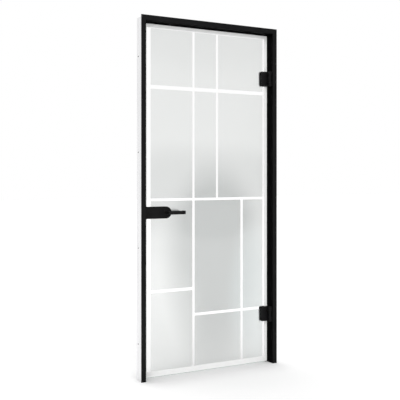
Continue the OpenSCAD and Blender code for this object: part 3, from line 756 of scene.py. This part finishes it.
# Soft patch: its strength at a middle point, falling smoothly to nought at an oval's edge.
patch_group, entry, way_out = new_group(
    "soft_patch",
    [
        ("Across", "NodeSocketFloat", 0),
        ("Up", "NodeSocketFloat", 0),
        ("Middle Across", "NodeSocketFloat", 0),
        ("Middle Up", "NodeSocketFloat", 0),
        ("Half Width", "NodeSocketFloat", 1),
        ("Half Height", "NodeSocketFloat", 1),
        ("Strength", "NodeSocketFloat", 1),
    ],
    [("Share", "NodeSocketFloat")],
)
squares = []
for way, middle, half in (("Across", "Middle Across", "Half Width"), ("Up", "Middle Up", "Half Height")):
    off = number_node(patch_group, "SUBTRACT", (entry, way), (entry, middle))
    off = number_node(patch_group, "DIVIDE", (off, 0), (entry, half))
    squares.append(number_node(patch_group, "POWER", (off, 0), 2))
off_both = number_node(patch_group, "ADD", (squares[0], 0), (squares[1], 0))
fall = patch_group.nodes.new("ShaderNodeMapRange")
fall.interpolation_type = "SMOOTHERSTEP"
fall.inputs["To Min"].default_value = 1
fall.inputs["To Max"].default_value = 0
join_nodes(patch_group, off_both, 0, fall, "Value")
patch_share = number_node(patch_group, "MULTIPLY", (fall, "Result"), (entry, "Strength"))
join_nodes(patch_group, patch_share, 0, way_out, "Share")

glass = bpy.data.materials.new("etched_glass")
glass.use_nodes = True
glass_tree = glass.node_tree
glass_shader = glass_tree.nodes["Principled BSDF"]
glass_shader.inputs["Transmission Weight"].default_value = 1
glass_shader.inputs["Metallic"].default_value = 0
glass_shader.inputs["IOR"].default_value = 1.5
glass_place = glass_tree.nodes.new("ShaderNodeTexCoord")
glass_axes = glass_tree.nodes.new("ShaderNodeSeparateXYZ")
join_nodes(glass_tree, glass_place, "Object", glass_axes, 0)
leaf_across = number_node(glass_tree, "SUBTRACT", (glass_axes, "X"), leaf_low.x)
leaf_up = number_node(glass_tree, "SUBTRACT", (glass_axes, "Z"), leaf_low.z)


def group_on_leaf(group, **values):
    """One of the glass groups, reading distances from the leaf's latch edge and foot, with its own values."""
    node = glass_tree.nodes.new("ShaderNodeGroup")
    node.node_tree = group
    join_nodes(glass_tree, leaf_across, 0, node, "Across")
    join_nodes(glass_tree, leaf_up, 0, node, "Up")
    for label, value in values.items():
        node.inputs[label.replace("_", " ")].default_value = value
    return node


def panel_on_leaf(left, right, low, high):
    """The panel mask between these distances from the leaf's latch edge and foot."""
    return group_on_leaf(panel_group, Left=left, Right=right, Low=low, High=high)


def patch_on_leaf(across, up, half_width, half_height, strength):
    """The soft patch at this place on the leaf, in millimetres, with its strength."""
    return group_on_leaf(
        patch_group,
        Middle_Across=across * mm,
        Middle_Up=up * mm,
        Half_Width=half_width * mm,
        Half_Height=half_height * mm,
        Strength=strength,
    )


etched = panel_on_leaf(*etched_field)
for line in clear_lines:
    etched = number_node(glass_tree, "SUBTRACT", (etched, 0), (panel_on_leaf(*line), 0))
    etched.use_clamp = True
on_rear = number_node(glass_tree, "GREATER_THAN", (glass_axes, "Y"), etched_behind)
etched = number_node(glass_tree, "MULTIPLY", (etched, 0), (on_rear, 0))
etched_rough = number_node(glass_tree, "MULTIPLY", (etched, 0), etched_roughness)
join_nodes(glass_tree, etched_rough, 0, glass_shader, "Roughness")

# Soft patches darken and lighten the etched field: painted shade and painted light. Fine noise then adds random grain,
# and a cool patch gives a darker, cooler tint low on the hinge side.
painted_lightness = number_node(glass_tree, "ADD", (patch_on_leaf(*painted_shade_and_light_patches[0]), 0), etched_start)
for patch in painted_shade_and_light_patches[1:]:
    painted_lightness = number_node(glass_tree, "ADD", (painted_lightness, 0), (patch_on_leaf(*patch), 0))
painted_lightness.use_clamp = True
satin_noise = glass_tree.nodes.new("ShaderNodeTexNoise")
satin_noise.inputs["Scale"].default_value = 700
join_nodes(glass_tree, glass_place, "Object", satin_noise, "Vector")
satin_lift = number_node(glass_tree, "SUBTRACT", (satin_noise, 0), 0.5)
satin_lift = number_node(glass_tree, "MULTIPLY", (satin_lift, 0), 0.08)
painted_lightness = number_node(glass_tree, "ADD", (painted_lightness, 0), (satin_lift, 0))
painted_lightness.use_clamp = True
etched_tone = blend_node(glass_tree, (painted_lightness, 0), etched_painted_shade, etched_painted_light)
etched_tone = blend_node(glass_tree, (patch_on_leaf(*cool_patch), 0), (etched_tone, "Result"), etched_cool)
away_from_edge = panel_on_leaf(
    1.2 * mm, leaf_high.x - leaf_low.x - 1.2 * mm, 1.2 * mm, leaf_high.z - leaf_low.z - 1.2 * mm
)
# Within 1.2 mm of the leaf's outline the clear glass takes the darkened green edge tint: glass colour and painted shade
# together.
plain_tone = blend_node(glass_tree, (away_from_edge, 0), edge_green_with_painted_shade, (1, 1, 1, 1))
glass_tone = blend_node(glass_tree, (etched, 0), (plain_tone, "Result"), (etched_tone, "Result"))
glass_tree.links.new(glass_tone.outputs["Result"], glass_shader.inputs["Base Color"])
finish_node("glass_pane", glass)


# A white enamel band is printed on the front face along the leaf's edges, up to the etched field at the foot.
# It hides the frame's stop and seals from the front, and it is left out where the lock's cut-out is.
enamel_white = (0.93, 0.935, 0.93, 1)
enamel_hazed = (0.90, 0.905, 0.90, 1)
band_outer = 1.6 * mm
band_width = 20 * mm
band_thick = 0.08 * mm
band_gap = 0.02 * mm
band_break = 27 * mm
enamel = coat_material(
    "white_enamel", enamel_white, enamel_hazed, enamel_hazed, 0.5, 0.05, 0.5, 0, 0.4 * mm, 30 * mm, 0.005 * mm
)
lever_axis = (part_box("front_lever_collar")[0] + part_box("front_lever_collar")[1]) / 2


def band_stations():
    """The band's section at six places from below the lock, round the foot, and back over it: each has an
    outer and an inner corner, set in from the leaf's edges, as across and up."""
    left_outer, left_inner = leaf_low.x + band_outer, leaf_low.x + band_outer + band_width
    right_outer, right_inner = leaf_high.x - band_outer, leaf_high.x - band_outer - band_width
    low_outer, low_inner = leaf_low.z + band_outer, leaf_low.z + border_low
    high_outer, high_inner = leaf_high.z - band_outer, leaf_high.z - band_outer - band_width
    under, over = lever_axis.z - band_break, lever_axis.z + band_break
    outer = [(left_outer, under), (left_outer, low_outer), (right_outer, low_outer)]
    inner = [(left_inner, under), (left_inner, low_inner), (right_inner, low_inner)]
    outer += [(right_outer, high_outer), (left_outer, high_outer), (left_outer, over)]
    inner += [(right_inner, high_inner), (left_inner, high_inner), (left_inner, over)]
    return np.array(outer), np.array(inner)


outer_line, inner_line = band_stations()
band_flat = np.stack([outer_line, outer_line, inner_line, inner_line], axis=1)
band_levels = leaf_low.y - band_gap - np.array([0, band_thick, band_thick, 0])
band_depth = np.broadcast_to(band_levels, band_flat.shape[:2])
band_grid = closed_ends(np.stack([band_flat[..., 0], band_depth, band_flat[..., 1]], axis=-1))
make_piece("edge_band", [(band_grid, 0, False, True)], enamel, "leaf")


# Two clamps hold the leaf at the hinge edge, each a front and a rear plate drawn together through the glass.
# They are zinc castings with a matt black coat, and socket screws come in from the back.
for hinge in ("upper", "lower"):
    finish_node(hinge + "_clamp_front", fitting_coat)
    finish_node(hinge + "_clamp_rear", fitting_coat)
    finish_node(hinge + "_clamp_screws", plated_steel)


# Rubber sheets 1 mm thick keep metal off glass: one under each clamp plate, and a strip round the lock's cut-out.
# Their free edges swell a little under the pressure of the screws.
gasket_swell = 0.25 * mm
gasket_corner = 8 * mm
gasket_margin = 1 * mm
clamp_reach = 50 * mm
rear_start = 11 * mm
lock_radius = 33.5 * mm
lock_backset = 138 * mm
cutout_radius = 25 * mm
strip_corner = 0.3 * mm


def swollen_rows(outline, thick, swell):
    """A sheet from back to front whose wall bulges by swell, as the sine of the share of its thickness."""
    share = np.linspace(0, 1, 7)
    flat = np.stack([outline(-swell * math.sin(math.pi * part)) for part in share])
    height = np.broadcast_to((share * thick)[:, None, None], flat.shape[:2] + (1,))
    return closed_ends(np.concatenate([flat, height], axis=-1))


for hinge in ("upper", "lower"):
    for side, start in (("front", 0), ("rear", rear_start)):
        node = hinge + "_" + side + "_gasket"
        gasket_low, gasket_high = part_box(node)
        low = (gasket_low.x, gasket_low.z)
        high = (gasket_high.x, gasket_high.z)
        radii = [0.6 * mm, gasket_corner, gasket_corner, 0.6 * mm]
        rows = swollen_rows(
            lambda inset: four_corner_outline(low, high, radii, inset + gasket_swell), gasket_high.y - gasket_low.y, gasket_swell
        )
        grid = np.stack([rows[..., 0], gasket_low.y + rows[..., 2], rows[..., 1]], axis=-1)
        make_piece(hinge + "_" + side + "_rubber", [(grid, 0, False, True)], rubber, "leaf", [node])

strip_half = (lock_radius - gasket_margin - cutout_radius) / 2
strip_line = cutout_radius + strip_half
for side in ("front", "rear"):
    node = "lock_" + side + "_gasket"
    gasket_low, gasket_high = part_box(node)
    section = four_corner_outline(
        (-strip_half, 0), (strip_half, gasket_high.y - gasket_low.y), [strip_corner] * 4, 0, steps=4
    )
    bend = np.linspace(math.pi / 2, -math.pi / 2, 33)
    path_x = np.concatenate([[gasket_low.x], lever_axis.x + strip_line * np.cos(bend), [gasket_low.x]])
    path_z = np.concatenate([[strip_line], strip_line * np.sin(bend), [-strip_line]])
    out_x = np.concatenate([[0], np.cos(bend), [0]])
    out_z = np.concatenate([[1], np.sin(bend), [-1]])
    grid = np.stack(
        [
            path_x[:, None] + out_x[:, None] * section[:, 0],
            np.broadcast_to(gasket_low.y + section[:, 1], (len(path_x), len(section))),
            lever_axis.z + path_z[:, None] + out_z[:, None] * section[:, 0],
        ],
        axis=-1,
    )
    make_piece(
        "lock_" + side + "_rubber", [(closed_ends(grid), 0, False, True)], rubber, "leaf", [node]
    )


# The lock is a pair of D-shaped castings with the steel lock body between them in the glass's cut-out.
# Two socket screws from the back draw the cases together, and the latch bolt shows at the leaf's edge.
finish_node("lock_case_front", fitting_coat)
finish_node("lock_case_rear", fitting_coat)
finish_node("lock_body", plated_steel)
finish_node("lock_screws", plated_steel)
finish_node("spindle", plated_steel)
bolt_low, bolt_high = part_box("latch_bolt")
bolt_round = 1.2 * mm
bolt_low_corner = (bolt_low.y, bolt_low.z)
bolt_high_corner = (bolt_high.y, bolt_high.z)
bolt_rows, bolt_rubbed = eased_rows(
    lambda inset: four_corner_outline(bolt_low_corner, bolt_high_corner, [0.8 * mm] * 4, inset),
    bolt_high.x - bolt_low.x,
    bolt_round,
)
bolt_grid = np.stack([bolt_high.x - bolt_rows[..., 2], bolt_rows[..., 0], bolt_rows[..., 1]], axis=-1)
bolt_wear = np.concatenate([[0], bolt_rubbed, [1]])
make_piece(
    "latch_bolt_nose", [(closed_ends(bolt_grid), bolt_wear, False, True)], plated_steel, "leaf", ["latch_bolt"]
)


# A turned collar stands on each case round the lever's neck, with a fine groove near its rim.
# It is pressed in and stays still while the lever turns.
collar_bore = 9.05 * mm
collar_radius = 15 * mm
collar_height = 3 * mm
collar_round = 1.2 * mm
groove_radius = 12.2 * mm
groove_depth = 0.35 * mm
rim_turn = np.linspace(0, math.pi / 2, 7)
collar_radii = np.concatenate(
    [
        [collar_bore, collar_radius],
        collar_radius - collar_round + collar_round * np.cos(rim_turn),
        [groove_radius + 0.3 * mm, groove_radius, groove_radius - 0.3 * mm],
        [collar_bore + 0.4 * mm, collar_bore],
    ]
)
collar_heights = np.concatenate(
    [
        [0, 0],
        collar_height - collar_round + collar_round * np.sin(rim_turn),
        [collar_height, collar_height - groove_depth, collar_height],
        [collar_height, collar_height - 0.4 * mm],
    ]
)
collar_rubbed = np.concatenate([[0, 0], np.sin(2 * rim_turn), [0.6, 0, 0.6, 0.8, 0]])
across, along, height = turned(collar_radii, collar_heights, 56)
front_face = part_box("front_lever_collar")[1].y
rear_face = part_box("rear_lever_collar")[0].y
for side, face, outward in (("front", front_face, -1), ("rear", rear_face, 1)):
    grid = np.stack([lever_axis.x + across, face + outward * height, lever_axis.z + along], axis=-1)
    node = side + "_lever_collar"
    make_piece(side + "_collar", [(grid, collar_rubbed, True, True)], fitting_coat, "leaf", [node])


# The levers are cast bars with a round end over the neck and a return bent back towards the glass.
# Both sit on one square spindle, and a grub screw under each neck holds it.
lever_length = 102 * mm
lever_height = 20 * mm
lever_thick = 10 * mm
lever_round = 3 * mm
bend_inner = 4 * mm
return_length = 32 * mm
return_ease = 1.5 * mm
neck_radius = 9 * mm
neck_foot = 5.8 * mm
neck_foot_radius = 8.8 * mm
neck_flare = 2.2 * mm
standoff = 42 * mm
grub_place = 16 * mm


def bar_outline(inset=0.0):
    """The lever bar's section, thickness (from its back, outward) by height, as a rounded rectangle.
    A middle point is added on the front and on the back, so that the round end closes on them."""
    half = lever_height / 2
    low = (0, -half)
    corners = four_corner_outline(low, (lever_thick, half), [lever_round] * 4, inset, steps=6)
    front = [[lever_thick - inset, 0]]
    back = [[inset, 0]]
    return np.concatenate([front, corners[:12], back, corners[12:]])


def lever_shells(outward, bar_face):
    """A lever as three shells. The round end turns the section's upper half through half a circle.
    The bar carries the section along a straight, a quarter bend and the return, whose end draws in.
    The neck is a radius by height turned on the axis, with a flare where it meets the bar."""
    section = bar_outline()
    upper = section[:14]
    turn = np.linspace(0, math.pi, 25)[:, None]
    end_x = -upper[:, 1] * np.sin(turn)
    end_z = upper[:, 1] * np.cos(turn)
    end_y = np.broadcast_to(upper[:, 0], end_x.shape)
    end_grid = np.stack([lever_axis.x + end_x, bar_face + outward * end_y, lever_axis.z + end_z], axis=-1)

    bend_x = lever_length - lever_thick - bend_inner
    straight = np.linspace(0, bend_x, 12)
    bend = np.linspace(0, math.pi / 2, 12)[1:]
    back_leg = np.linspace(-bend_inner, return_ease - return_length, 5)[1:]
    closing = np.linspace(0, math.pi / 2, 6)[1:]
    rows = [np.stack([np.full(len(section), x), section[:, 0], section[:, 1]], axis=1) for x in straight]
    reach = bend_inner + section[:, 0]
    for angle in bend:
        x = bend_x + reach * math.sin(angle)
        rows.append(np.stack([x, reach * math.cos(angle) - bend_inner, section[:, 1]], axis=1))
    for depth in back_leg:
        x = bend_x + reach
        rows.append(np.stack([x, np.full(len(section), depth), section[:, 1]], axis=1))
    for angle in closing:
        small = bar_outline(return_ease * (1 - math.cos(angle)))
        depth = return_ease - return_length - return_ease * math.sin(angle)
        rows.append(np.stack([bend_x + bend_inner + small[:, 0], np.full(len(small), depth), small[:, 1]], axis=1))
    rows.append(np.broadcast_to(rows[-1].mean(0), rows[-1].shape))
    bar = np.stack(rows)
    bar_grid = np.stack(
        [lever_axis.x + bar[..., 0], bar_face + outward * bar[..., 1], lever_axis.z + bar[..., 2]], axis=-1
    )
    flare_turn = np.linspace(0, math.pi / 2, 6)
    neck_radii = np.concatenate(
        [
            [0, neck_foot_radius, neck_foot_radius, neck_radius, neck_radius],
            neck_radius + (0.9 * mm) * (1 - np.cos(flare_turn)),
            [0],
        ]
    )
    neck_heights = np.concatenate(
        [
            [-standoff - neck_foot, -standoff - neck_foot, 0.3 * mm - standoff, 0.5 * mm - standoff, -neck_flare],
            -neck_flare + (neck_flare + 0.5 * mm) * np.sin(flare_turn),
            [0.5 * mm],
        ]
    )
    across, along, height = turned(neck_radii, neck_heights, 40)
    neck_grid = np.stack([lever_axis.x + across, bar_face + outward * height, lever_axis.z + along], axis=-1)
    tip_wear = np.concatenate([np.zeros(len(rows) - 7), np.linspace(0.3, 1, 6), [0.6]])
    return [(end_grid, 0, False, False), (bar_grid, tip_wear, False, True), (neck_grid, 0, False, True)]


grub_across, grub_along, grub_height = socket_screw(2.5 * mm, 0.3 * mm, 2.4 * mm, 4 * mm, 2 * mm, 1.6 * mm)
for side, face, outward in (("front", front_face, -1), ("rear", rear_face, 1)):
    bar_face = face + outward * standoff
    name = side + "_lever"
    make_piece(
        side + "_cast_lever", lever_shells(outward, bar_face), fitting_coat, "handle", [name]
    )
    grub_grid = np.stack(
        [
            lever_axis.x + grub_across,
            face + outward * grub_place + grub_along,
            lever_axis.z - neck_radius - 0.02 * mm - grub_height,
        ],
        axis=-1,
    )
    make_piece(side + "_grub_screw", [(grub_grid, 0, False, True)], plated_steel, "handle")
